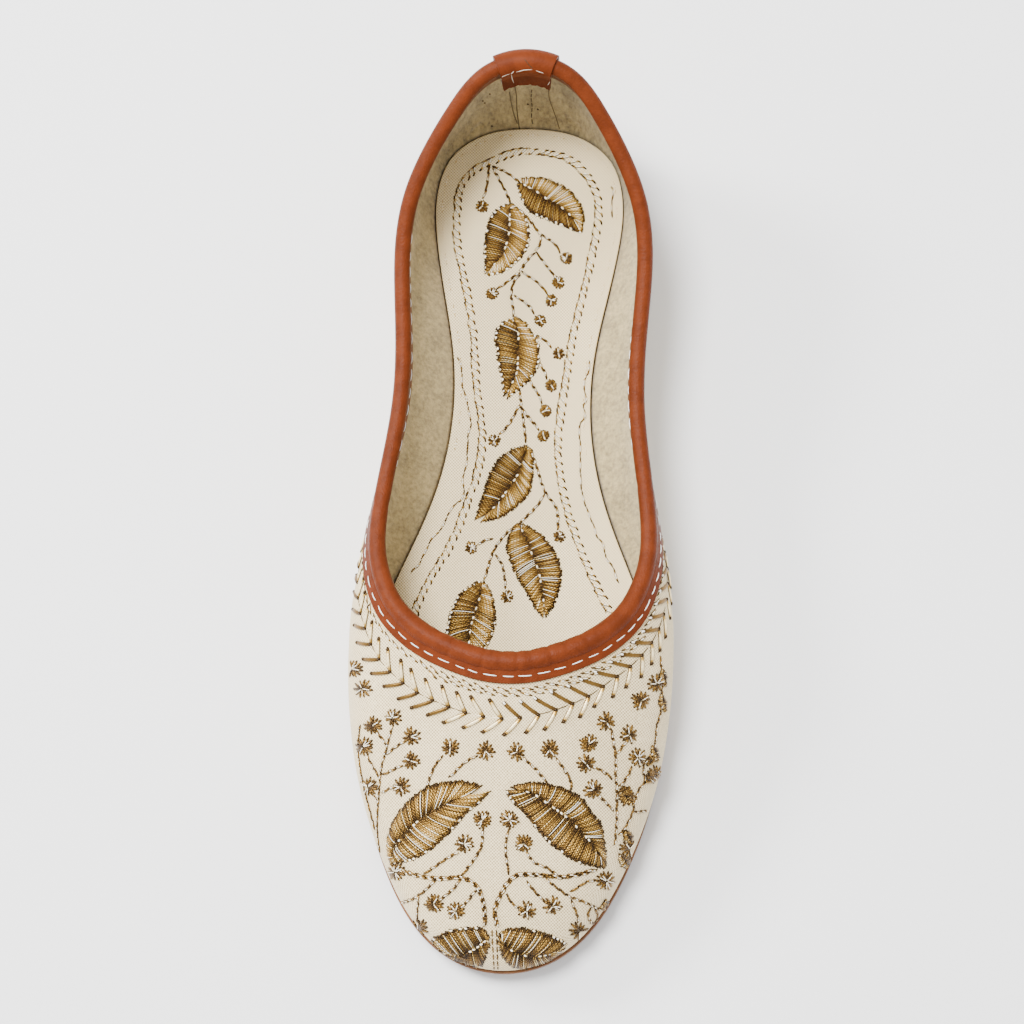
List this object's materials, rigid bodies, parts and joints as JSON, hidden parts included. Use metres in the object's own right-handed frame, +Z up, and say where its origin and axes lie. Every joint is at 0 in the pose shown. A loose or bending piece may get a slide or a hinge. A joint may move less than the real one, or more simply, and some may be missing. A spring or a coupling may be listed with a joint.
{
  "type": "mojari shoe",
  "caption": "Flat slip-on dress shoe on a straight last, hollow cloth upper with a rolled leather collar binding, heel tab, insole, leather sole and low heel.",
  "frame": {"origin": "on the ground under the centre of the shoe's box", "axes": "+X across the shoe, toe at -Y, heel at +Y, +Z up"},
  "size_m": [0.0894, 0.2464, 0.0687],
  "materials": {
    "upper_cloth": "cream twill cloth with metal thread embroidery",
    "insole_cloth": "cream twill cloth with metal thread embroidery",
    "binding_leather": "smooth tan leather, soft sheen",
    "tab_leather": "smooth tan leather, soft sheen",
    "sole_leather": "vegetable tanned sole leather, plain",
    "heel_leather": "stacked sole leather, plain"
  },
  "bodies": {
    "root": {"outsole": "sole_leather", "heel_lift": "heel_leather", "upper": "upper_cloth", "insole": "insole_cloth", "collar_binding": "binding_leather", "heel_tab": "tab_leather"}
  },
  "joints": []
}
